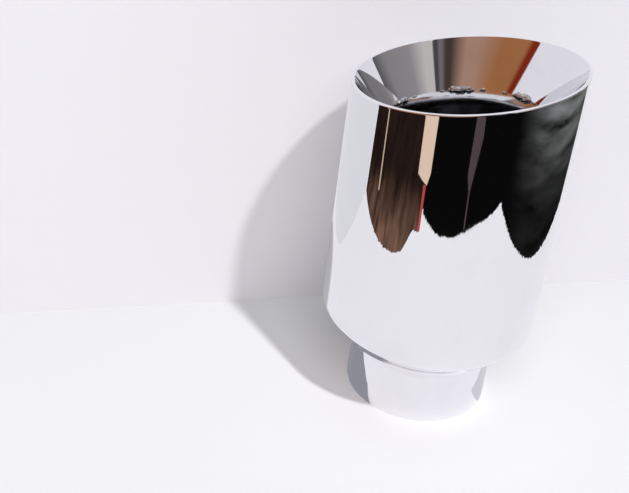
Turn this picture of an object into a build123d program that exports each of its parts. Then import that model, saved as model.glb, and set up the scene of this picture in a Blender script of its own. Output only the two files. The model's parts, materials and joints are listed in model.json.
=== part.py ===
"""A double-walled exhaust tip with a slant-cut mouth, standing on the end of its inlet neck.

Rolled and spun stainless sheet, welded and polished: a neck that slips over the tailpipe, an outer shell,
a bevelled ring inside the mouth, and an inner sleeve that carries on from the neck's end and is flared to
meet the ring. Millimetres, +Z from the inlet to the mouth, origin at the middle of the neck's end, +X towards
the long side of the slanted mouth.
"""
from build123d import *
from math import cos, degrees, pi, radians, sin, tan
import os

# Inlet neck
pipe_diameter = 63.5          # the tailpipe that the neck slips over
pipe_clearance = 0.35         # between the tailpipe and the neck, on each side
neck_wall = 1.5
neck_length = 46.0            # the neck's tube, which runs on inside the shell

# Inner sleeve
sleeve_step = 0.7             # the sleeve's bore stands back by this from the neck's, out of the gas's way
sleeve_wall = 1.0
sleeve_flare = 1.8            # how far the sleeve's upper end is flared to meet the ring
flare_length = 7.5            # how long the flare is, down from the ring

# Outer shell
air_gap = 14.0                # between the flared end of the sleeve and the shell, all round
shell_wall = 1.2
shoulder_angle = 41.0         # rise of the shoulder above the level, in degrees
shoulder_bend = 6.0           # outside radius where the shoulder turns into the barrel
shoulder_height = 29.0        # from the neck's end to where the shoulder leaves the neck

# Mouth
mouth_height = 167.0          # from the neck's end to the middle of the rim
slant_angle = 12.0            # tilt of the rim, in degrees
rim_round = 0.7               # rounding of the shell's polished edge

# Weld between neck and shoulder
neck_weld_leg = 3.6           # how far the ground weld runs up the shoulder and down the neck
neck_weld_hollow = 0.7        # how far its face is ground in at the middle

# Bevelled ring inside the mouth
bevel_land = 0.3              # flat on top of the ring, beside the shell's edge
bevel_lip = 1.5               # straight part at the top, against the shell
bevel_depth = 21.5            # from the rim down to the ring's lower edge
bevel_dish = 0.1              # how far the slope is pressed outwards, half way down

# Tack welds between bevelled ring and sleeve
tack_count = 7
tack_first_angle = 67.0       # direction of the first tack, from +X, in degrees
tack_puddles = 3              # overlapping weld puddles in one tack
tack_puddle_radius = 2.2
tack_puddle_pitch = 2.9       # from one puddle to the next, along the joint

neck_bore = pipe_diameter / 2 + pipe_clearance
neck_radius = neck_bore + neck_wall
sleeve_bore = neck_bore + sleeve_step
sleeve_radius = sleeve_bore + sleeve_wall
joint_bore = sleeve_bore + sleeve_flare
joint_radius = sleeve_radius + sleeve_flare
shell_bore = joint_radius + air_gap
shell_radius = shell_bore + shell_wall
slant = radians(slant_angle)
rise = radians(shoulder_angle)


def slant_plane(depth):
    """The plane of the slanted rim, moved down by depth along the axis, with its X up the slope."""
    middle = (0, 0, mouth_height - depth)
    return Plane(origin=middle, x_dir=(cos(slant), 0, sin(slant)), z_dir=(-sin(slant), 0, cos(slant)))


def slant_section(radius, depth):
    """The cut of an upright cylinder of this radius with the slanted plane at this depth."""
    return slant_plane(depth) * Ellipse(radius / cos(slant), radius)


def slant_band(top_radius, top_depth, low_radius, low_depth, dish=0):
    """A solid between two slanted cuts, straight-sided or dished outwards half way down."""
    top = slant_section(top_radius, top_depth)
    low = slant_section(low_radius, low_depth)
    if not dish:
        return loft([low, top], ruled=True)
    half_way = slant_section((top_radius + low_radius) / 2 + dish, (top_depth + low_depth) / 2)
    return loft([low, half_way, top])


def tube(outer_radius, inner_radius, low, high):
    """An upright tube about the axis, from one height to another."""
    wall = Rectangle(outer_radius - inner_radius, high - low, align=Align.MIN)
    return revolve(Plane.XZ * Pos(inner_radius, low) * wall, Axis.Z)


def below_slant(solid, depth):
    """What lies under the slanted plane at this depth."""
    return split(solid, bisect_by=slant_plane(depth), keep=Keep.BOTTOM)


def shoulder_at(radius, inset):
    """Height of the shoulder's sheet at a radius, on its outside or inset into its thickness."""
    return shoulder_height + (radius - neck_radius) * tan(rise) + inset / cos(rise)


def make_outer_shell():
    """Barrel and shoulder, spun from one sheet, bent to one centre inside and out, and cut at a slant."""
    above_rim = mouth_height + shell_radius * tan(slant) + shell_wall
    outside = FilletPolyline(
        (neck_radius, shoulder_at(neck_radius, 0)),
        (shell_radius, shoulder_at(shell_radius, 0)),
        (shell_radius, above_rim),
        radius=shoulder_bend,
    )
    inside = FilletPolyline(
        (neck_radius, shoulder_at(neck_radius, shell_wall)),
        (shell_bore, shoulder_at(shell_bore, shell_wall)),
        (shell_bore, above_rim),
        radius=shoulder_bend - shell_wall,
    )
    ends = [Line(outside @ 0, inside @ 0), Line(outside @ 1, inside @ 1)]
    sheet = make_face(Curve() + outside + inside + ends)
    shell = below_slant(revolve(Plane.XZ * sheet, Axis.Z), 0)
    rim = shell.faces().sort_by(Axis.Z)[-1]
    outer_edge = rim.edges().sort_by(SortBy.LENGTH)[-1]
    return fillet(outer_edge, rim_round)


def make_inlet_neck():
    """The straight tube that slips over the tailpipe and reaches up inside the shell."""
    return tube(neck_radius, neck_bore, 0, neck_length)


def make_neck_weld():
    """The weld in the corner between neck and shoulder, ground hollow in two slopes and polished."""
    corner = Vector(neck_radius, shoulder_height)
    on_neck = corner - Vector(0, neck_weld_leg)
    on_shoulder = corner + Vector(neck_weld_leg * cos(rise), neck_weld_leg * sin(rise))
    half_way = (on_neck + on_shoulder) / 2
    ground_in = half_way + (corner - half_way).normalized() * neck_weld_hollow
    section = make_face(Polyline(on_neck, ground_in, on_shoulder, corner, close=True))
    return revolve(Plane.XZ * section, Axis.Z)


def make_bevel_ring():
    """The dished ring that turns the mouth inwards, from the rim to the sleeve, equally deep all round."""
    lip = slant_band(shell_bore, 0, shell_bore, bevel_lip)
    back = slant_band(shell_bore, bevel_lip, joint_radius, bevel_depth, bevel_dish)
    mirror = slant_band(shell_bore - bevel_land, 0, joint_bore, bevel_depth, bevel_dish)
    return lip + back - mirror


def make_inner_sleeve():
    """The inner wall, from the neck's end up to a flare that is butted to the ring's lower edge."""
    flare_end = bevel_depth + flare_length
    wall = below_slant(tube(sleeve_radius, sleeve_bore, neck_length, mouth_height), flare_end)
    hollow = -sleeve_flare / 4
    outside = slant_band(joint_radius, bevel_depth, sleeve_radius, flare_end, hollow)
    inside = slant_band(joint_bore, bevel_depth, sleeve_bore, flare_end, hollow)
    return wall + (outside - inside)


def make_tack_welds(ring, sleeve):
    """Short lumpy tacks that join the ring to the sleeve, spaced round the joint, on its inside."""
    tacks = []
    for tack in range(tack_count):
        middle = radians(tack_first_angle) + tack * 2 * pi / tack_count
        lump = Part()
        for puddle in range(tack_puddles):
            along = (puddle - (tack_puddles - 1) / 2) * tack_puddle_pitch
            angle = middle + along / joint_bore
            x = joint_bore * cos(angle)
            y = joint_bore * sin(angle)
            joint = Pos(x, y, mouth_height - bevel_depth + x * tan(slant))
            poles_along_radius = Rot(0, 0, degrees(angle)) * Rot(0, 90, 0)
            lump += joint * poles_along_radius * Sphere(tack_puddle_radius)
        inside_and_outside = (lump - sleeve - ring).solids()
        tacks.append(inside_and_outside.sort_by(SortBy.VOLUME)[-1])
    return Compound(children=tacks)


bevel_ring = make_bevel_ring()
inner_sleeve = make_inner_sleeve()
pieces = {
    "outer_shell": make_outer_shell(),
    "inlet_neck": make_inlet_neck(),
    "neck_weld": make_neck_weld(),
    "bevel_ring": bevel_ring,
    "inner_sleeve": inner_sleeve,
    "tack_welds": make_tack_welds(bevel_ring, inner_sleeve),
}

os.makedirs("parts", exist_ok=True)
for name, piece in pieces.items():
    piece.label = name
    export_step(piece, f"parts/{name}.step")
    print(name, round(piece.volume, 1), "mm3")
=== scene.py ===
"""Looks of a polished double-walled exhaust tip with a slant-cut mouth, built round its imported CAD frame."""
import json
from math import cos, pi, radians, sin, tan

import bmesh
import bpy
from mathutils import Matrix, Vector, noise


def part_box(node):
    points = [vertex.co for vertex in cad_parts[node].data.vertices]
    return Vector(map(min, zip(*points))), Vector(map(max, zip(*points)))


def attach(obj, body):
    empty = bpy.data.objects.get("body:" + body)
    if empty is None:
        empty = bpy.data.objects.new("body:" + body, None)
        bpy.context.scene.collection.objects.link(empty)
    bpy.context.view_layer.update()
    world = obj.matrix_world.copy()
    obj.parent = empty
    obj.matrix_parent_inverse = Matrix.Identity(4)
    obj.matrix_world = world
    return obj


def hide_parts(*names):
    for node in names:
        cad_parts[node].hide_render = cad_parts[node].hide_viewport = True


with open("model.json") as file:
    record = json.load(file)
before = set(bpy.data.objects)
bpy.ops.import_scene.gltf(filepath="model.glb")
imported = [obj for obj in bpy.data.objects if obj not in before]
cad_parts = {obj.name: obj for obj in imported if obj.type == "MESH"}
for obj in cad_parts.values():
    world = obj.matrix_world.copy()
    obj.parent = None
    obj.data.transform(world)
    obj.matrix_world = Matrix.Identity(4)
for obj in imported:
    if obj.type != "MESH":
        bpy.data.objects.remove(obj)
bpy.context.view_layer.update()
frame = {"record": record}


# Inlet neck: the straight steel tube that slips over the tailpipe, and that the loose tip stands on.
# It is cut square from drawn tube, deburred on its edges, and polished together with the outer shell.
inlet = next(mount for mount in frame["record"]["mounts"] if mount["name"] == "inlet")
neck_bore = inlet["dims"]["r_mm"] / 1000
neck_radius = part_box("inlet_neck")[1].y
neck_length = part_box("inlet_neck")[1].z
neck_deburr = 0.0003
neck_rows = 8
mouth_slant = radians(12.0)
mouth_slope = tan(mouth_slant)
turn_steps = 384
sharp_corner = radians(30.0)


def rounded(before, corner, after, radius, steps=8):
    """The points of a section's corner when it is turned into an arc between its two sides."""
    tip = Vector(corner[:2])
    back = (Vector(before[:2]) - tip).normalized()
    ahead = (Vector(after[:2]) - tip).normalized()
    half = back.angle(ahead) / 2
    middle = tip + (back + ahead).normalized() * (radius / sin(half))
    first = tip + back * (radius / tan(half)) - middle
    last = tip + ahead * (radius / tan(half)) - middle
    spokes = [first.slerp(last, step / steps).normalized() * radius for step in range(steps + 1)]
    return [(*(middle + spoke), corner[2]) for spoke in spokes]


def between(start, end, count):
    """The points inside a straight side of a section, closer together near its two ends."""
    shares = [(1 - cos(pi * step / count)) / 2 for step in range(1, count)]
    return [tuple(a + (b - a) * share for a, b in zip(start, end)) for share in shares]


def turn(name, section):
    """A closed ring turned about the axis.

    A point of the section is its radius, its height, and the share of the mouth's slant that it follows.
    """
    shape = bmesh.new()
    rings = []
    for radius, height, follows in section:
        ring = []
        for step in range(turn_steps):
            angle = 2 * pi * step / turn_steps
            x = radius * cos(angle)
            y = radius * sin(angle)
            ring.append(shape.verts.new((x, y, height + follows * mouth_slope * x)))
        rings.append(ring)
    for ring, other in zip(rings, rings[1:] + rings[:1]):
        for step in range(turn_steps):
            after = (step + 1) % turn_steps
            shape.faces.new((ring[step], ring[after], other[after], other[step]))
    bmesh.ops.recalc_face_normals(shape, faces=shape.faces)
    mesh = bpy.data.meshes.new(name)
    shape.to_mesh(mesh)
    shape.free()
    mesh.shade_smooth()
    mesh.set_sharp_from_angle(angle=sharp_corner)
    piece = bpy.data.objects.new(name, mesh)
    bpy.context.scene.collection.objects.link(piece)
    return piece


def make_polish_group():
    """Mirror polish: buffing lines round the axis, cloudy hand marks, and the slow waves of rolled sheet."""
    group = bpy.data.node_groups.new("buffed_mirror", "ShaderNodeTree")
    group.interface.new_socket("Bright", in_out="INPUT", socket_type="NodeSocketColor")
    group.interface.new_socket("Dull", in_out="INPUT", socket_type="NodeSocketColor")
    group.interface.new_socket("Smoothest", in_out="INPUT", socket_type="NodeSocketFloat")
    group.interface.new_socket("Roughest", in_out="INPUT", socket_type="NodeSocketFloat")
    group.interface.new_socket("Color", in_out="OUTPUT", socket_type="NodeSocketColor")
    group.interface.new_socket("Roughness", in_out="OUTPUT", socket_type="NodeSocketFloat")
    group.interface.new_socket("Height", in_out="OUTPUT", socket_type="NodeSocketFloat")
    nodes = group.nodes
    link = group.links.new
    given = nodes.new("NodeGroupInput")
    result = nodes.new("NodeGroupOutput")
    place = nodes.new("ShaderNodeTexCoord")

    # Buffing lines: noise that is long round the axis and short along it
    axes = nodes.new("ShaderNodeSeparateXYZ")
    link(place.outputs["Object"], axes.inputs["Vector"])
    round_axis = nodes.new("ShaderNodeMath")
    round_axis.operation = "ARCTAN2"
    link(axes.outputs["Y"], round_axis.inputs[0])
    link(axes.outputs["X"], round_axis.inputs[1])
    unrolled = nodes.new("ShaderNodeCombineXYZ")
    link(round_axis.outputs["Value"], unrolled.inputs["X"])
    link(axes.outputs["Z"], unrolled.inputs["Y"])
    stretched = nodes.new("ShaderNodeMapping")
    stretched.inputs["Scale"].default_value = (2.2, 2600.0, 1.0)
    link(unrolled.outputs["Vector"], stretched.inputs["Vector"])
    lines = nodes.new("ShaderNodeTexNoise")
    lines.inputs["Scale"].default_value = 1.0
    lines.inputs["Detail"].default_value = 3.0
    link(stretched.outputs["Vector"], lines.inputs["Vector"])

    # Hand marks: soft clouds that only show as a breath of haze
    clouds = nodes.new("ShaderNodeTexNoise")
    clouds.inputs["Scale"].default_value = 34.0
    clouds.inputs["Detail"].default_value = 5.0
    clouds.inputs["Roughness"].default_value = 0.62
    link(place.outputs["Object"], clouds.inputs["Vector"])
    haze = nodes.new("ShaderNodeMapRange")
    haze.interpolation_type = "SMOOTHSTEP"
    haze.inputs["From Min"].default_value = 0.44
    haze.inputs["From Max"].default_value = 0.74
    link(clouds.outputs["Fac"], haze.inputs["Value"])
    dulled = nodes.new("ShaderNodeMath")
    dulled.operation = "MULTIPLY_ADD"
    dulled.inputs[1].default_value = 0.25
    link(lines.outputs["Fac"], dulled.inputs[0])
    link(haze.outputs["Result"], dulled.inputs[2])

    tint = nodes.new("ShaderNodeMix")
    tint.data_type = "RGBA"
    link(haze.outputs["Result"], tint.inputs["Factor"])
    link(given.outputs["Bright"], tint.inputs["A"])
    link(given.outputs["Dull"], tint.inputs["B"])
    rough = nodes.new("ShaderNodeMapRange")
    link(dulled.outputs["Value"], rough.inputs["Value"])
    link(given.outputs["Smoothest"], rough.inputs["To Min"])
    link(given.outputs["Roughest"], rough.inputs["To Max"])

    # Waves: what rolling and spinning leave in the sheet, tens of millimetres long
    waves = nodes.new("ShaderNodeTexNoise")
    waves.inputs["Scale"].default_value = 26.0
    waves.inputs["Detail"].default_value = 1.0
    link(place.outputs["Object"], waves.inputs["Vector"])
    height = nodes.new("ShaderNodeMath")
    height.operation = "MULTIPLY_ADD"
    height.inputs[1].default_value = 0.004
    link(lines.outputs["Fac"], height.inputs[0])
    link(waves.outputs["Fac"], height.inputs[2])

    link(tint.outputs["Result"], result.inputs["Color"])
    link(rough.outputs["Result"], result.inputs["Roughness"])
    link(height.outputs["Value"], result.inputs["Height"])
    return group


polish_group = make_polish_group()


def polished_steel(name, bright, dull, smoothest, roughest, wave_depth):
    """Mirror-polished stainless steel. The wave depth is in metres."""
    material = bpy.data.materials.new(name)
    material.use_nodes = True
    nodes = material.node_tree.nodes
    link = material.node_tree.links.new
    metal = nodes["Principled BSDF"]
    metal.inputs["Metallic"].default_value = 1.0
    polish = nodes.new("ShaderNodeGroup")
    polish.node_tree = polish_group
    polish.inputs["Bright"].default_value = (*bright, 1.0)
    polish.inputs["Dull"].default_value = (*dull, 1.0)
    polish.inputs["Smoothest"].default_value = smoothest
    polish.inputs["Roughest"].default_value = roughest
    bump = nodes.new("ShaderNodeBump")
    bump.inputs["Strength"].default_value = 1.0
    bump.inputs["Distance"].default_value = wave_depth
    link(polish.outputs["Color"], metal.inputs["Base Color"])
    link(polish.outputs["Roughness"], metal.inputs["Roughness"])
    link(polish.outputs["Height"], bump.inputs["Height"])
    link(bump.outputs["Normal"], metal.inputs["Normal"])
    return material


neck_outline = [
    (neck_radius, 0.0, 0.0),
    (neck_radius, neck_length, 0.0),
    (neck_bore, neck_length, 0.0),
    (neck_bore, 0.0, 0.0),
]
neck_section = []
for index, corner in enumerate(neck_outline):
    before = neck_outline[index - 1]
    after = neck_outline[(index + 1) % len(neck_outline)]
    arc = rounded(before, corner, after, neck_deburr)
    if neck_section:
        neck_section += between(neck_section[-1], arc[0], neck_rows)
    neck_section += arc
inlet_neck = turn("polished_inlet_neck", neck_section)
inlet_neck.data.materials.append(
    polished_steel(
        "neck_polish",
        bright=(0.86, 0.86, 0.89),
        dull=(0.82, 0.82, 0.85),
        smoothest=0.02,
        roughest=0.06,
        wave_depth=0.00002,
    )
)
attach(inlet_neck, "root")
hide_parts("inlet_neck")


# Neck weld: the ring of weld metal in the corner between neck and shoulder, which holds the two together.
# It is laid in one pass, ground to a smooth hollow that runs out on both sheets, and polished with them.
weld_low, weld_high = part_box("neck_weld")
shoulder_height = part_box("outer_shell")[0].z
weld_leg = shoulder_height - weld_low.z
weld_corner = (neck_radius, shoulder_height, 0.0)
weld_on_neck = (neck_radius, weld_low.z, 0.0)
weld_on_shoulder = (weld_high.y, weld_high.z, 0.0)
root_inside = 0.0002
root_above = 0.0001
hollow_steps = 16
weld_root = (neck_radius - root_inside, shoulder_height + root_above, 0.0)
down_neck = Vector(weld_on_neck) - Vector(weld_corner)
up_shoulder = Vector(weld_on_shoulder) - Vector(weld_corner)
half_corner = down_neck.angle(up_shoulder) / 2
hollow_radius = weld_leg * tan(half_corner)
weld_hollow = rounded(weld_on_neck, weld_corner, weld_on_shoulder, hollow_radius, hollow_steps)
weld_section = weld_hollow + [weld_root]
neck_weld = turn("ground_neck_weld", weld_section)
neck_weld.data.materials.append(
    polished_steel(
        "weld_polish",
        bright=(0.84, 0.84, 0.87),
        dull=(0.76, 0.76, 0.78),
        smoothest=0.03,
        roughest=0.09,
        wave_depth=0.00003,
    )
)
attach(neck_weld, "root")
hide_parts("neck_weld")


# Outer shell: barrel and sloped shoulder in one sheet of stainless steel, rolled, spun in at the neck,
# cut at a slant at the mouth and mirror polished. Its rim is rounded where the ring is welded in.
shell_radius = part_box("outer_shell")[1].y
shell_wall = 0.0012
shell_bore = shell_radius - shell_wall
shoulder_rise = radians(41.0)
shoulder_bend = 0.006
mouth_height = 0.167
rim_round = 0.0007
bend_steps = 16
inner_bend_steps = 12
shoulder_rows = 10
barrel_rows = 28
lining_rows = 16
inner_shoulder_rows = 6
shoulder_top = shoulder_height + (shell_radius - neck_radius) * tan(shoulder_rise)
wall_up = shell_wall / cos(shoulder_rise)
inner_top = shoulder_height + wall_up + (shell_bore - neck_radius) * tan(shoulder_rise)

shell_foot = (neck_radius, shoulder_height, 0.0)
shell_corner = (shell_radius, shoulder_top, 0.0)
shell_above = (shell_radius, mouth_height, 0.0)
shell_below = (shell_radius, 0.0, 1.0)
shell_rim = (shell_radius, mouth_height, 1.0)
rim_inside = (shell_bore, mouth_height, 1.0)
inner_above = (shell_bore, mouth_height, 0.0)
inner_corner = (shell_bore, inner_top, 0.0)
inner_foot = (neck_radius, shoulder_height + wall_up, 0.0)

outside_bend = rounded(shell_foot, shell_corner, shell_above, shoulder_bend, bend_steps)
rim_arc = rounded(shell_below, shell_rim, rim_inside, rim_round)
inner_bend = shoulder_bend - shell_wall
inside_bend = rounded(inner_above, inner_corner, inner_foot, inner_bend, inner_bend_steps)
shell_section = [shell_foot]
shell_section += between(shell_foot, outside_bend[0], shoulder_rows)
shell_section += outside_bend
shell_section += between(outside_bend[-1], rim_arc[0], barrel_rows)
shell_section += rim_arc
shell_section += [rim_inside]
shell_section += between(rim_inside, inside_bend[0], lining_rows)
shell_section += inside_bend
shell_section += between(inside_bend[-1], inner_foot, inner_shoulder_rows)
shell_section += [inner_foot]
outer_shell = turn("polished_outer_shell", shell_section)
outer_shell.data.materials.append(
    polished_steel(
        "shell_polish",
        bright=(0.86, 0.86, 0.89),
        dull=(0.82, 0.82, 0.85),
        smoothest=0.012,
        roughest=0.045,
        wave_depth=0.00002,
    )
)
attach(outer_shell, "root")
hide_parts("outer_shell")


# Bevelled ring: the polished sheet ring that turns the mouth inwards, welded to the shell at the rim.
# It is pressed to a slightly dished slope, so it is equally deep all round the slanted mouth.
ring_land = 0.0003
ring_lip = 0.0015
ring_depth = 0.0215
ring_dish = 0.0001
ring_edge_round = 0.00022
face_rows = 40
back_rows = 12
edge_rows = 4
sleeve_wall = 0.001
joint_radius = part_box("inner_sleeve")[1].y
joint_bore = joint_radius - sleeve_wall


def dished(points, bow):
    """Pushes the points of a straight side outwards, most in its middle, so that it becomes a shallow arc."""
    top, low = points[0][1], points[-1][1]
    curved = []
    for radius, height, follows in points:
        share = (height - low) / (top - low)
        curved.append((radius + bow * 4 * share * (1 - share), height, follows))
    return curved


ring_seat = (shell_bore, mouth_height, 1.0)
ring_edge = (shell_bore - ring_land, mouth_height, 1.0)
ring_inner_end = (joint_bore, mouth_height - ring_depth, 1.0)
ring_outer_end = (joint_radius, mouth_height - ring_depth, 1.0)
ring_shoulder = (shell_bore, mouth_height - ring_lip, 1.0)
ring_face = [ring_edge, *between(ring_edge, ring_inner_end, face_rows), ring_inner_end]
ring_face = dished(ring_face, ring_dish)
ring_back = [ring_outer_end, *between(ring_outer_end, ring_shoulder, back_rows), ring_shoulder]
ring_back = dished(ring_back, ring_dish)
edge_arc = rounded(ring_seat, ring_edge, ring_face[edge_rows], ring_edge_round)
ring_section = [ring_seat]
ring_section += edge_arc
ring_section += ring_face[edge_rows:]
ring_section += ring_back
bevel_ring = turn("polished_bevel_ring", ring_section)
bevel_ring.data.materials.append(
    polished_steel(
        "bevel_polish",
        bright=(0.80, 0.80, 0.83),
        dull=(0.75, 0.75, 0.78),
        smoothest=0.02,
        roughest=0.06,
        wave_depth=0.00002,
    )
)
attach(bevel_ring, "root")
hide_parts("bevel_ring")


# Inner sleeve: the inner wall of the double-walled tip, a drawn tube that stands on the neck's end.
# Its upper end is flared to meet the ring's lower edge, where it is tacked. It is shiny but unpolished.
sleeve_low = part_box("inner_sleeve")[0].z
sleeve_flare = 0.0018
flare_length = 0.0075
flare_steps = 14
sleeve_deburr = 0.0003
sleeve_rows = 24
outside_rows = 12
sleeve_bore = joint_bore - sleeve_flare
sleeve_radius = joint_radius - sleeve_flare


def flared(radius):
    """The points of the sleeve's flare, from the ring's lower edge down to where the tube is straight."""
    points = []
    for step in range(flare_steps + 1):
        share = step / flare_steps
        height = mouth_height - ring_depth - flare_length * share
        points.append((radius + sleeve_flare * (1 - share) ** 2, height, 1.0))
    return points


sleeve_foot_out = (sleeve_radius, sleeve_low, 0.0)
sleeve_foot_in = (sleeve_bore, sleeve_low, 0.0)
above_foot_out = (sleeve_radius, mouth_height, 0.0)
above_foot_in = (sleeve_bore, mouth_height, 0.0)
foot_out_arc = rounded(sleeve_foot_in, sleeve_foot_out, above_foot_out, sleeve_deburr)
foot_in_arc = rounded(above_foot_in, sleeve_foot_in, sleeve_foot_out, sleeve_deburr)
flare_outside = flared(sleeve_radius)
flare_inside = flared(sleeve_bore)
sleeve_section = foot_out_arc
sleeve_section += between(foot_out_arc[-1], flare_outside[-1], outside_rows)
sleeve_section += flare_outside[::-1]
sleeve_section += flare_inside
sleeve_section += between(flare_inside[-1], foot_in_arc[0], sleeve_rows)
sleeve_section += foot_in_arc
inner_sleeve = turn("drawn_inner_sleeve", sleeve_section)


def mill_steel(name):
    """Drawn tube: fine drawing lines along the axis, with painted sheen that makes it bright at the flare and
    painted shade that makes it darker further down.
    """
    material = bpy.data.materials.new(name)
    material.use_nodes = True
    nodes = material.node_tree.nodes
    link = material.node_tree.links.new
    metal = nodes["Principled BSDF"]
    metal.inputs["Metallic"].default_value = 1.0
    place = nodes.new("ShaderNodeTexCoord")
    stretched = nodes.new("ShaderNodeMapping")
    stretched.inputs["Scale"].default_value = (900.0, 900.0, 14.0)
    link(place.outputs["Object"], stretched.inputs["Vector"])
    drawn = nodes.new("ShaderNodeTexNoise")
    drawn.inputs["Scale"].default_value = 1.0
    drawn.inputs["Detail"].default_value = 3.0
    link(stretched.outputs["Vector"], drawn.inputs["Vector"])
    patches = nodes.new("ShaderNodeTexNoise")
    patches.inputs["Scale"].default_value = 60.0
    patches.inputs["Detail"].default_value = 5.0
    link(place.outputs["Object"], patches.inputs["Vector"])

    # Height above the flare's lower end, which is slanted like the mouth
    above_slant = nodes.new("ShaderNodeVectorMath")
    above_slant.operation = "DOT_PRODUCT"
    above_slant.inputs[1].default_value = (-mouth_slope, 0.0, 1.0)
    link(place.outputs["Object"], above_slant.inputs[0])
    # Painted sheen: a bright band at the flare that fades out further down
    sheen_band = nodes.new("ShaderNodeMapRange")
    sheen_band.interpolation_type = "SMOOTHSTEP"
    sheen_band.inputs["From Min"].default_value = mouth_height - ring_depth - 2 * flare_length
    sheen_band.inputs["From Max"].default_value = mouth_height - ring_depth - flare_length / 2
    link(above_slant.outputs["Value"], sheen_band.inputs["Value"])

    # Painted shade: darker steel deeper in the tube, in random patches
    dull = nodes.new("ShaderNodeMix")
    dull.data_type = "RGBA"
    dull.inputs["A"].default_value = (0.42, 0.42, 0.44, 1.0)
    dull.inputs["B"].default_value = (0.32, 0.31, 0.31, 1.0)
    link(patches.outputs["Fac"], dull.inputs["Factor"])
    tint = nodes.new("ShaderNodeMix")
    tint.data_type = "RGBA"
    tint.inputs["B"].default_value = (0.76, 0.77, 0.80, 1.0)
    link(sheen_band.outputs["Result"], tint.inputs["Factor"])
    link(dull.outputs["Result"], tint.inputs["A"])
    rough = nodes.new("ShaderNodeMapRange")
    rough.inputs["To Min"].default_value = 0.07
    rough.inputs["To Max"].default_value = 0.17
    link(drawn.outputs["Fac"], rough.inputs["Value"])
    bump = nodes.new("ShaderNodeBump")
    bump.inputs["Strength"].default_value = 1.0
    bump.inputs["Distance"].default_value = 0.000002
    link(drawn.outputs["Fac"], bump.inputs["Height"])
    link(tint.outputs["Result"], metal.inputs["Base Color"])
    link(rough.outputs["Result"], metal.inputs["Roughness"])
    link(bump.outputs["Normal"], metal.inputs["Normal"])
    return material


inner_sleeve.data.materials.append(mill_steel("drawn_tube"))
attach(inner_sleeve, "root")
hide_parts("inner_sleeve")


# Tack welds: seven short runs of weld metal on the joint of ring and sleeve, inside the mouth, with a drop of
# spatter here and there between them. They are left raw, lumpy and shiny, with a straw and blue heat tint.
tack_count = 7
tack_first = radians(67.0)
tack_length = 0.0104
tack_radius = 0.0020
tack_proud = 0.0006
puddle_pitch = 0.0026
tack_rows = 64
tack_sides = 36
drops_between = 2
drop_radius = 0.0008
drop_length = 2.6
bead_waist = 0.72
puddle_swell = 0.34
uneven_share = 0.30
lump_share = 0.20
wander_share = 0.25
flat_share = 0.85
welded_together = 0.00001
swell_waves = 300.0
wander_waves = 260.0
lump_waves = 620.0


def weld_bead(shape, middle, length, radius, seed):
    """One short bead along the joint, swelling at each puddle, added to the shape that holds them all.

    The noise that makes it uneven is read at a place of its own for each seed. Waves are counted per metre.
    """
    rings = []
    for row in range(tack_rows + 1):
        lean = pi * row / tack_rows
        along = -length / 2 * cos(lean)
        puddle = abs(cos(pi * along / puddle_pitch + seed * 1.3))
        swell = sin(lean) ** 0.7 * (bead_waist + puddle_swell * puddle ** 0.6)
        swell *= 1 + uneven_share * noise.noise(Vector((along * swell_waves, seed * 3.1, 7.9)))
        angle = middle + along / joint_bore
        wander = wander_share * radius * noise.noise(Vector((along * wander_waves, seed * 5.3, 1.7)))
        ring = []
        for side in range(tack_sides):
            turn_angle = 2 * pi * side / tack_sides
            lump_place = along * lump_waves + seed * 9.7
            lumps = noise.noise(Vector((lump_place, cos(turn_angle), sin(turn_angle))))
            size = radius * swell * (1 + lump_share * lumps)
            reach = joint_bore - tack_proud - size * flat_share * cos(turn_angle)
            x = reach * cos(angle)
            y = reach * sin(angle)
            z = mouth_height - ring_depth + mouth_slope * x + wander + size * sin(turn_angle)
            ring.append(shape.verts.new((x, y, z)))
        rings.append(ring)
    for ring, other in zip(rings, rings[1:]):
        for side in range(tack_sides):
            after = (side + 1) % tack_sides
            shape.faces.new((ring[side], ring[after], other[after], other[side]))


def make_tacks():
    """All the tacks and drops as one mesh, no two of them quite alike."""
    shape = bmesh.new()
    spacing = 2 * pi / tack_count
    for tack in range(tack_count):
        middle = tack_first + tack * spacing
        stretch = 1 + 0.25 * sin(tack * 2.3)
        weld_bead(shape, middle, tack_length * stretch, tack_radius, tack)
        for drop in range(drops_between):
            share = (drop + 1) / (drops_between + 1) + 0.06 * sin(tack * 5.1 + drop * 2.9)
            size = drop_radius * (1 + 0.3 * sin(tack * 3.7 + drop * 1.9))
            seed = tack + 0.37 * (drop + 1)
            weld_bead(shape, middle + share * spacing, drop_length * size, size, seed)
    bmesh.ops.remove_doubles(shape, verts=shape.verts, dist=welded_together)
    bmesh.ops.recalc_face_normals(shape, faces=shape.faces)
    mesh = bpy.data.meshes.new("raw_tack_welds")
    shape.to_mesh(mesh)
    shape.free()
    mesh.shade_smooth()
    piece = bpy.data.objects.new("raw_tack_welds", mesh)
    bpy.context.scene.collection.objects.link(piece)
    return piece


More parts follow.
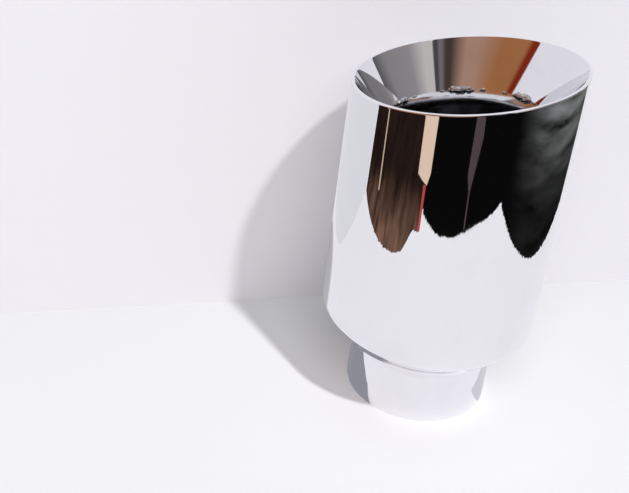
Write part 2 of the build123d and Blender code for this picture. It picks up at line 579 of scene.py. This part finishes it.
def raw_weld(name):
    """Raw weld metal: bright and rippled, with straw and blue tints where it cooled."""
    material = bpy.data.materials.new(name)
    material.use_nodes = True
    nodes = material.node_tree.nodes
    link = material.node_tree.links.new
    metal = nodes["Principled BSDF"]
    metal.inputs["Metallic"].default_value = 1.0
    place = nodes.new("ShaderNodeTexCoord")
    heat = nodes.new("ShaderNodeTexNoise")
    heat.inputs["Scale"].default_value = 260.0
    heat.inputs["Detail"].default_value = 3.0
    link(place.outputs["Object"], heat.inputs["Vector"])
    tint = nodes.new("ShaderNodeValToRGB")
    tint.color_ramp.elements[0].position = 0.30
    tint.color_ramp.elements[0].color = (0.26, 0.20, 0.15, 1.0)
    tint.color_ramp.elements[1].position = 0.72
    tint.color_ramp.elements[1].color = (0.28, 0.29, 0.35, 1.0)
    bare = tint.color_ramp.elements.new(0.48)
    bare.color = (0.50, 0.49, 0.49, 1.0)
    link(heat.outputs["Fac"], tint.inputs["Fac"])
    skin = nodes.new("ShaderNodeTexNoise")
    skin.inputs["Scale"].default_value = 1100.0
    skin.inputs["Detail"].default_value = 4.0
    link(place.outputs["Object"], skin.inputs["Vector"])
    rough = nodes.new("ShaderNodeMapRange")
    rough.inputs["To Min"].default_value = 0.03
    rough.inputs["To Max"].default_value = 0.16
    link(skin.outputs["Fac"], rough.inputs["Value"])
    bump = nodes.new("ShaderNodeBump")
    bump.inputs["Strength"].default_value = 0.3
    bump.inputs["Distance"].default_value = 0.00004
    link(skin.outputs["Fac"], bump.inputs["Height"])
    link(tint.outputs["Color"], metal.inputs["Base Color"])
    link(rough.outputs["Result"], metal.inputs["Roughness"])
    link(bump.outputs["Normal"], metal.inputs["Normal"])
    return material


tack_welds = make_tacks()
tack_welds.data.materials.append(raw_weld("raw_weld_metal"))
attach(tack_welds, "root")
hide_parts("tack_welds")


# Floor: a plain white sheet that the tip stands on, large enough to fill the picture. It is matt, so that
# it shows the tip's shadow and no reflection.
floor_half = 4.0


def flat_sheet(name, outline, height):
    """A level sheet from the points of its outline."""
    mesh = bpy.data.meshes.new(name)
    points = [(x, y, height) for x, y in outline]
    mesh.from_pydata(points, [], [tuple(range(len(points)))])
    sheet = bpy.data.objects.new(name, mesh)
    bpy.context.scene.collection.objects.link(sheet)
    return sheet


floor_corners = [
    (-floor_half, -floor_half),
    (floor_half, -floor_half),
    (floor_half, floor_half),
    (-floor_half, floor_half),
]
floor = flat_sheet("floor", floor_corners, 0.0)
floor_paint = bpy.data.materials.new("floor_white")
floor_paint.use_nodes = True
floor_shader = floor_paint.node_tree.nodes["Principled BSDF"]
floor_shader.inputs["Base Color"].default_value = (0.93, 0.925, 0.95, 1.0)
floor_shader.inputs["Roughness"].default_value = 0.7
floor_shader.inputs["Specular IOR Level"].default_value = 0.1
floor.data.materials.append(floor_paint)


# Backdrop: a white board that stands upright on the floor, close behind the tip, and takes its shadow.
# It shows its front only, and it neither shades the tip nor shows in the polish.
backdrop_distance = 0.072
backdrop_turn = radians(47.0)
backdrop_half = 3.0
backdrop_height = 2.5
along_board = Vector((cos(backdrop_turn), sin(backdrop_turn)))
board_middle = Vector((-along_board.y, along_board.x)) * backdrop_distance
board_left = board_middle - along_board * backdrop_half
board_right = board_middle + along_board * backdrop_half
backdrop_mesh = bpy.data.meshes.new("backdrop")
backdrop_points = [
    (*board_left, 0.0),
    (*board_right, 0.0),
    (*board_right, backdrop_height),
    (*board_left, backdrop_height),
]
backdrop_mesh.from_pydata(backdrop_points, [], [(0, 1, 2, 3)])
backdrop = bpy.data.objects.new("backdrop", backdrop_mesh)
bpy.context.scene.collection.objects.link(backdrop)
backdrop.visible_diffuse = False
backdrop.visible_glossy = False
backdrop.visible_shadow = False
backdrop.visible_transmission = False
backdrop_paint = bpy.data.materials.new("backdrop_white")
backdrop_paint.use_nodes = True
backdrop_nodes = backdrop_paint.node_tree.nodes
backdrop_link = backdrop_paint.node_tree.links.new
backdrop_front = backdrop_nodes["Principled BSDF"]
backdrop_front.inputs["Base Color"].default_value = (0.80, 0.79, 0.82, 1.0)
backdrop_front.inputs["Roughness"].default_value = 0.7
backdrop_front.inputs["Specular IOR Level"].default_value = 0.1
backdrop_side = backdrop_nodes.new("ShaderNodeNewGeometry")
backdrop_back = backdrop_nodes.new("ShaderNodeBsdfTransparent")
front_or_back = backdrop_nodes.new("ShaderNodeMixShader")
backdrop_link(backdrop_side.outputs["Backfacing"], front_or_back.inputs["Fac"])
backdrop_link(backdrop_front.outputs["BSDF"], front_or_back.inputs[1])
backdrop_link(backdrop_back.outputs["BSDF"], front_or_back.inputs[2])
backdrop_link(front_or_back.outputs["Shader"], backdrop_nodes["Material Output"].inputs["Surface"])
backdrop.data.materials.append(backdrop_paint)


# Reflected surround: what the mirror finish looks at and the camera doesn't. Dark ground begins beyond the
# edges of the white sheet, and a room of grey, brown and white stands round it at eye height.
def only_in_reflections(thing):
    """Keeps a surround out of the picture and off the light, so that only the polish shows it."""
    thing.visible_camera = False
    thing.visible_diffuse = False
    thing.visible_shadow = False
    thing.visible_transmission = False
    thing.visible_volume_scatter = False


def glow(name, colour):
    """A surround's plain colour, as bright as it is written."""
    material = bpy.data.materials.new(name)
    material.use_nodes = True
    nodes = material.node_tree.nodes
    nodes.remove(nodes["Principled BSDF"])
    shine = nodes.new("ShaderNodeEmission")
    shine.inputs["Color"].default_value = (*colour, 1.0)
    material.node_tree.links.new(shine.outputs["Emission"], nodes["Material Output"].inputs["Surface"])
    return material


ground_lift = 0.0002
far_ground = 1.5
least_pale = 0.06


def ragged(outline, step, depth):
    """An outline with a slightly frayed edge, as of cut cloth. Step and depth are in metres."""
    frayed = []
    for (x0, y0), (x1, y1) in zip(outline, outline[1:]):
        along = Vector((x1 - x0, y1 - y0))
        aside = Vector((-along.y, along.x)).normalized()
        count = max(1, round(along.length / step))
        for share in range(count):
            point = Vector((x0, y0)) + along * share / count
            point += aside * depth * noise.noise(Vector((point.x, point.y, 0.5)) * 240.0)
            frayed.append(tuple(point))
    return frayed + [outline[-1]]


def shaded_ground(name, dark, pale, start, end, towards, streaks, folds):
    """Ground that turns paler between two distances from the tip, most in one direction.

    Streaks run away from the tip and folds run round it. Both are given as how close they lie.
    """
    material = glow(name, dark)
    nodes = material.node_tree.nodes
    link = material.node_tree.links.new
    place = nodes.new("ShaderNodeTexCoord")
    distance = nodes.new("ShaderNodeVectorMath")
    distance.operation = "LENGTH"
    link(place.outputs["Object"], distance.inputs[0])
    by_distance = nodes.new("ShaderNodeMapRange")
    by_distance.interpolation_type = "SMOOTHSTEP"
    by_distance.inputs["From Min"].default_value = min(start, end)
    by_distance.inputs["From Max"].default_value = max(start, end)
    by_distance.inputs["To Min"].default_value = 1.0 if start > end else least_pale
    by_distance.inputs["To Max"].default_value = 1.0 if start < end else least_pale
    link(distance.outputs["Value"], by_distance.inputs["Value"])
    heading = nodes.new("ShaderNodeVectorMath")
    heading.operation = "NORMALIZE"
    link(place.outputs["Object"], heading.inputs[0])
    facing = nodes.new("ShaderNodeVectorMath")
    facing.operation = "DOT_PRODUCT"
    facing.inputs[1].default_value = (cos(towards), sin(towards), 0.0)
    link(heading.outputs["Vector"], facing.inputs[0])
    by_direction = nodes.new("ShaderNodeMapRange")
    by_direction.interpolation_type = "SMOOTHSTEP"
    by_direction.inputs["From Min"].default_value = 0.3
    by_direction.inputs["From Max"].default_value = 0.9
    link(facing.outputs["Value"], by_direction.inputs["Value"])
    folded = nodes.new("ShaderNodeMath")
    folded.operation = "MULTIPLY"
    folded.inputs[1].default_value = folds
    link(distance.outputs["Value"], folded.inputs[0])
    woven = nodes.new("ShaderNodeVectorMath")
    woven.operation = "MULTIPLY_ADD"
    woven.inputs[1].default_value = (streaks, streaks, streaks)
    link(heading.outputs["Vector"], woven.inputs[0])
    link(folded.outputs["Value"], woven.inputs[2])
    weave = nodes.new("ShaderNodeTexNoise")
    weave.inputs["Scale"].default_value = 1.0
    weave.inputs["Detail"].default_value = 3.0
    link(woven.outputs["Vector"], weave.inputs["Vector"])
    uneven = nodes.new("ShaderNodeMapRange")
    uneven.inputs["From Min"].default_value = 0.25
    uneven.inputs["From Max"].default_value = 0.75
    link(weave.outputs["Fac"], uneven.inputs["Value"])
    paler = nodes.new("ShaderNodeMath")
    paler.operation = "MULTIPLY"
    link(by_distance.outputs["Result"], paler.inputs[0])
    link(by_direction.outputs["Result"], paler.inputs[1])
    patchy = nodes.new("ShaderNodeMath")
    patchy.operation = "MULTIPLY"
    link(paler.outputs["Value"], patchy.inputs[0])
    link(uneven.outputs["Result"], patchy.inputs[1])
    tone = nodes.new("ShaderNodeMix")
    tone.data_type = "RGBA"
    tone.inputs["A"].default_value = (*dark, 1.0)
    tone.inputs["B"].default_value = (*pale, 1.0)
    link(patchy.outputs["Value"], tone.inputs["Factor"])
    link(tone.outputs["Result"], nodes["Emission"].inputs["Color"])
    return material


# Black cloth in front and to the right of the white sheet
sheet_front = [(0.010, -0.265), (0.030, -0.250), (0.155, -0.185), (0.200, -0.155)]
sheet_right = [(0.265, -0.085), (0.250, -0.045), (0.210, 0.035)]
sheet_right += [(0.130, 0.155), (0.085, 0.220), (0.080, 0.335)]
cloth_far = [(0.12, 0.80), (far_ground, 0.80), (far_ground, -far_ground), (0.12, -far_ground)]
sheet_edge = ragged(sheet_front + sheet_right, step=0.002, depth=0.0035)
dark_ground = flat_sheet("dark_ground", sheet_edge + cloth_far, ground_lift)
cloth_black = (0.003, 0.003, 0.003)
cloth_grey = (0.30, 0.305, 0.30)
dark_ground.data.materials.append(
    shaded_ground(
        "cloth_black",
        dark=cloth_black,
        pale=cloth_grey,
        start=0.24,
        end=0.44,
        towards=radians(58.0),
        streaks=1.5,
        folds=20.0,
    )
)
only_in_reflections(dark_ground)

# Dark wood to the left of it, browner close by
wood_front = [(0.010, -0.265), (0.010, -0.235), (-0.010, -0.235), (-0.035, -0.205), (-0.145, -0.160)]
wood_far = [(-0.210, -0.130), (-far_ground, -0.72), (-far_ground, -far_ground), (0.12, -far_ground)]
wood_edge = ragged(wood_front, step=0.002, depth=0.002)
brown_ground = flat_sheet("brown_ground", wood_edge + wood_far, ground_lift)
wood_dark = (0.011, 0.006, 0.0055)
wood_brown = (0.27, 0.15, 0.10)
brown_ground.data.materials.append(
    shaded_ground(
        "wood_brown",
        dark=wood_dark,
        pale=wood_brown,
        start=0.30,
        end=0.205,
        towards=radians(-108.0),
        streaks=14.0,
        folds=12.0,
    )
)
only_in_reflections(brown_ground)


def lay_strip(name, colour, outline):
    """Something flat on the ground in one plain colour, which only the polish shows."""
    strip = flat_sheet(name, outline, 2 * ground_lift)
    strip.data.materials.append(glow(name, colour))
    only_in_reflections(strip)


# On the wood and the cloth: a beige board with a red edge, a bright lath and a pale rod
board_outline = [(-0.140, -0.620), (0.005, -0.640), (0.025, -0.305), (0.015, -0.290), (-0.035, -0.300)]
lay_strip("beige_board", (0.80, 0.60, 0.46), board_outline)
edge_outline = [(0.0, -0.290), (0.012, -0.290), (0.016, -0.235), (0.008, -0.235)]
lay_strip("red_edge", (0.50, 0.07, 0.07), edge_outline)
lath_outline = [(-0.178, -0.186), (-0.565, -0.450), (-0.560, -0.465), (-0.175, -0.191)]
lay_strip("bright_lath", (0.60, 0.46, 0.34), lath_outline)
rod_outline = [(0.165, -0.183), (0.190, -0.222), (0.190, -0.250), (0.300, -0.420)]
rod_outline += [(0.345, -0.400), (0.260, -0.260), (0.195, -0.219), (0.169, -0.180)]
lay_strip("pale_rod", (0.085, 0.06, 0.065), rod_outline)

# On the white sheet, seen only in the polish: painted shade close to the neck on both sides, as flat grey
# cards
left_outline = [(-0.006, -0.033), (-0.020, -0.039), (-0.033, -0.039), (-0.050, -0.035)]
left_outline += [(-0.060, 0.010), (0.0, 0.010)]
lay_strip("left_shade", (0.30, 0.30, 0.335), left_outline)
right_outline = [(0.030, 0.003), (0.045, 0.006), (0.050, 0.040), (0.0, 0.040)]
lay_strip("right_shade", (0.68, 0.68, 0.71), right_outline)
# Painted shade: a grey card for the white sheet in shade further left
far_shade_outline = [(-0.210, -0.125), (-far_ground, -0.70), (-far_ground, 1.0), (-0.170, 0.300), (-0.160, -0.015)]
lay_strip("painted_far_shade", (0.77, 0.77, 0.80), far_shade_outline)

# The room as one band round the tip: its tones in order, by compass direction from +X
room_radius = 1.4
room_low = 0.02
room_high = 2.8
room_first = 57.5
room_last = room_first - 360.0
white_wall = (0.86, 0.85, 0.89)
dim_corner = (0.10, 0.10, 0.11)
plain_wall = (0.30, 0.28, 0.285)
grey_wall = (0.26, 0.25, 0.255)
lit_wall = (0.57, 0.54, 0.52)
dark_post = (0.075, 0.065, 0.07)
bare_post = (0.18, 0.16, 0.17)
dark_wood = (0.065, 0.045, 0.04)
pale_wood = (0.42, 0.25, 0.18)
warm_wood = (0.38, 0.155, 0.06)
red_curtain = (0.22, 0.025, 0.008)
room_tones = [
    (room_first, dim_corner),
    (41.0, grey_wall),
    (8.0, plain_wall),
    (-13.0, lit_wall),
    (-26.0, lit_wall),
    (-27.0, dark_post),
    (-33.0, dark_post),
    (-35.0, bare_post),
    (-39.0, bare_post),
    (-45.0, dark_wood),
    (-53.0, dark_wood),
    (-74.0, pale_wood),
    (-90.0, pale_wood),
    (-118.0, warm_wood),
    (-143.0, warm_wood),
    (-148.0, red_curtain),
    (-154.0, red_curtain),
    (-154.5, white_wall),
]
room_steps = 180
room_points = []
room_faces = []
for step in range(room_steps + 1):
    direction = radians(room_first + (room_last - room_first) * step / room_steps)
    for height in (room_low, room_high):
        room_points.append((room_radius * cos(direction), room_radius * sin(direction), height))
for step in range(room_steps):
    room_faces.append((2 * step, 2 * step + 2, 2 * step + 3, 2 * step + 1))
room_mesh = bpy.data.meshes.new("room_band")
room_mesh.from_pydata(room_points, [], room_faces)
room_place = room_mesh.uv_layers.new(name="round_the_room")
for loop in room_mesh.loops:
    room_place.data[loop.index].uv = (loop.vertex_index // 2 / room_steps, loop.vertex_index % 2)
room_band = bpy.data.objects.new("room_band", room_mesh)
bpy.context.scene.collection.objects.link(room_band)
only_in_reflections(room_band)
room_paint = glow("room_tones", (1.0, 1.0, 1.0))
room_nodes = room_paint.node_tree.nodes
room_link = room_paint.node_tree.links.new
round_room = room_nodes.new("ShaderNodeUVMap")
round_room.uv_map = "round_the_room"
share_round = room_nodes.new("ShaderNodeSeparateXYZ")
room_ramp = room_nodes.new("ShaderNodeValToRGB")
stops = room_ramp.color_ramp.elements
for index, (direction, tone) in enumerate(room_tones):
    position = (direction - room_first) / (room_last - room_first)
    stop = stops[0] if index == 0 else stops.new(position)
    stop.position = position
    stop.color = (*tone, 1.0)
stops.remove(stops[-1])
room_link(round_room.outputs["UV"], share_round.inputs["Vector"])
room_link(share_round.outputs["X"], room_ramp.inputs["Fac"])
room_link(room_ramp.outputs["Color"], room_nodes["Emission"].inputs["Color"])
room_band.data.materials.append(room_paint)


# Light: an even white surround, a small key lamp high on the right that throws the crisp shadow, and a broad
# soft lamp beyond the camera that keeps the floor in front of the tip as pale as the rest.
surround_light = 0.27
key_strength = 1.66
key_width = radians(3.0)
key_direction = Vector((-0.512, 0.226, -0.829))
fill_watts = 23.0
fill_width = 1.6
fill_place = (0.9, -1.5, 1.8)
world = bpy.data.worlds.new("white_surround")
bpy.context.scene.world = world
world.use_nodes = True
world_nodes = world.node_tree.nodes
world_link = world.node_tree.links.new
surround = world_nodes["Background"]
surround.inputs["Color"].default_value = (0.98, 0.98, 1.0, 1.0)
light_path = world_nodes.new("ShaderNodeLightPath")
seen_or_mirrored = world_nodes.new("ShaderNodeMath")
seen_or_mirrored.operation = "MAXIMUM"
seen_through_too = world_nodes.new("ShaderNodeMath")
seen_through_too.operation = "MAXIMUM"
level = world_nodes.new("ShaderNodeMapRange")
level.inputs["To Min"].default_value = surround_light
level.inputs["To Max"].default_value = 1.0
world_link(light_path.outputs["Is Camera Ray"], seen_or_mirrored.inputs[0])
world_link(light_path.outputs["Is Glossy Ray"], seen_or_mirrored.inputs[1])
world_link(seen_or_mirrored.outputs["Value"], seen_through_too.inputs[0])
world_link(light_path.outputs["Is Transmission Ray"], seen_through_too.inputs[1])
world_link(seen_through_too.outputs["Value"], level.inputs["Value"])
world_link(level.outputs["Result"], surround.inputs["Strength"])

key_data = bpy.data.lights.new("key_lamp", "SUN")
key_data.energy = key_strength
key_data.angle = key_width
key_lamp = bpy.data.objects.new("key_lamp", key_data)
key_lamp.rotation_euler = key_direction.to_track_quat("-Z", "Y").to_euler()
bpy.context.scene.collection.objects.link(key_lamp)

fill_data = bpy.data.lights.new("fill_lamp", "AREA")
fill_data.shape = "DISK"
fill_data.size = fill_width
fill_data.energy = fill_watts
fill_lamp = bpy.data.objects.new("fill_lamp", fill_data)
fill_lamp.location = fill_place
fill_lamp.rotation_euler = (-fill_lamp.location).to_track_quat("-Z", "Y").to_euler()
fill_lamp.visible_glossy = False
bpy.context.scene.collection.objects.link(fill_lamp)


# Camera: where the photograph was taken from, fitted to the tip's outline. Its angles are in radians.
photo_width = 629
focal_pixels = 1403.8
camera_place = (0.2211, -0.5108, 0.4236)
camera_heading = 0.5117
camera_dip = 0.5701
camera_lean = 0.1264
camera_data = bpy.data.cameras.new("photo_camera")
camera_data.sensor_fit = "HORIZONTAL"
camera_data.sensor_width = 36.0
camera_data.lens = camera_data.sensor_width * focal_pixels / photo_width
camera = bpy.data.objects.new("photo_camera", camera_data)
camera_turn = Matrix.Rotation(camera_heading, 4, "Z")
camera_tilt = Matrix.Rotation(pi / 2 - camera_dip, 4, "X")
camera_roll = Matrix.Rotation(camera_lean, 4, "Z")
camera.matrix_world = Matrix.Translation(camera_place) @ camera_turn @ camera_tilt @ camera_roll
bpy.context.scene.collection.objects.link(camera)
bpy.context.scene.camera = camera
bpy.context.scene.view_settings.view_transform = "Standard"
